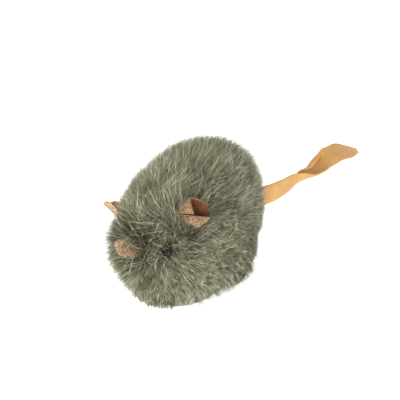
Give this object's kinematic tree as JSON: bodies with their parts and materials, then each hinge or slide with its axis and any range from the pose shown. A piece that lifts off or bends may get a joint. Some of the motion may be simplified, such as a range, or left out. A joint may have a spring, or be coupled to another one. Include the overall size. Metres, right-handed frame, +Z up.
{
  "type": "electric mouse cat toy",
  "caption": "Motor driven toy mouse: long grey green fur over a wheeled drive unit, with folded suede ears and nose, bead eyes and a twisted leather strip tail.",
  "frame": {"origin": "on the floor, below the middle of the whole toy with its tail", "axes": "+Z up; -Y the way the mouse faces, so its tail points along +Y; +X its left side"},
  "size_m": [0.0608, 0.184, 0.074],
  "materials": {
    "fur": "long soft pile, grey green with darker roots and paler tips",
    "suede": "speckled pinkish tan suede",
    "tail_suede": "smooth light tan leather strip",
    "bead": "polished black",
    "case_plastic": "fine moulded texture, dark grey",
    "frame_plastic": "natural moulded plastic",
    "gear_plastic": "natural acetal",
    "hub_plastic": "grey moulded plastic",
    "tyre_rubber": "matt black rubber",
    "steel": "plain steel",
    "brass": "plain brass",
    "cell_steel": "bright nickel plate",
    "board": "green solder mask",
    "chip": "black moulding",
    "nylon": "natural nylon",
    "wadding": "loose polyester fill",
    "lead_red": "red wire sleeve",
    "lead_black": "black wire sleeve",
    "lead_yellow": "yellow wire sleeve"
  },
  "bodies": {
    "body": {"chassis_base": "case_plastic", "battery_door": "case_plastic", "battery_door_screw": "steel", "button_cell_1": "cell_steel", "button_cell_2": "cell_steel", "button_cell_3": "cell_steel", "battery_contact_negative": "brass", "battery_contact_positive": "brass", "idler_shaft": "steel", "motor_can": "steel", "motor_end_cap": "nylon", "drive_frame": "frame_plastic", "frame_screw_left": "steel", "frame_screw_right": "steel", "bushing_left": "brass", "bushing_right": "brass", "switch_body": "steel", "circuit_board": "board", "controller_chip": "chip", "filter_capacitor": "steel", "board_screw": "steel", "motor_lead_red": "lead_red", "motor_lead_black": "lead_black", "battery_lead_black": "lead_black", "battery_lead_red": "lead_red", "switch_lead_yellow": "lead_yellow", "switch_lead_red": "lead_red", "upper_shell": "case_plastic", "case_screw_front_left": "steel", "case_screw_front_right": "steel", "case_screw_rear_left": "steel", "case_screw_rear_right": "steel", "back_padding": "wadding", "ear_left": "suede", "ear_right": "suede", "nose": "suede", "eye_left": "bead", "eye_right": "bead", "tail": "tail_suede", "fur_coat": "fur"},
    "drive_axle": {"rear_axle": "steel", "axle_gear": "gear_plastic", "wheel_hub_left": "hub_plastic", "wheel_hub_right": "hub_plastic", "tyre_left": "tyre_rubber", "tyre_right": "tyre_rubber"},
    "idler": {"idler_gear": "gear_plastic"},
    "rotor": {"motor_shaft": "steel", "motor_pinion": "brass"},
    "caster": {"caster_fork": "frame_plastic", "caster_axle": "steel", "caster_retainer": "steel"},
    "caster_roller": {"caster_wheel": "tyre_rubber"},
    "power_switch": {"switch_knob": "chip"}
  },
  "joints": [
    {"name": "drive_axle_spin", "type": "hinge", "parent": "body", "child": "drive_axle", "pos_m": [-0.00137, -0.03252, 0.01], "axis": [1, 0, 0], "continuous": true},
    {"name": "idler_spin", "type": "hinge", "parent": "body", "child": "idler", "pos_m": [-0.00137, -0.03422, 0.01741], "axis": [1, 0, 0], "continuous": true},
    {"name": "rotor_spin", "type": "hinge", "parent": "body", "child": "rotor", "pos_m": [-0.00137, -0.03864, 0.0242], "axis": [1, 0, 0], "continuous": true},
    {"name": "caster_swivel", "type": "hinge", "parent": "body", "child": "caster", "pos_m": [-0.00137, -0.06402, 0.01], "axis": [0, 0, 1], "continuous": true},
    {"name": "caster_roll", "type": "hinge", "parent": "caster", "child": "caster_roller", "pos_m": [-0.00137, -0.06182, 0.004], "axis": [1, 0, 0], "continuous": true},
    {"name": "switch_slide", "type": "slide", "parent": "body", "child": "power_switch", "axis": [1, 0, 0], "range_m": [0, 0.002]}
  ],
  "couplings": [
    {"joint": "idler_spin", "follows": "drive_axle_spin", "ratio": -2},
    {"joint": "rotor_spin", "follows": "drive_axle_spin", "ratio": 4.4}
  ]
}
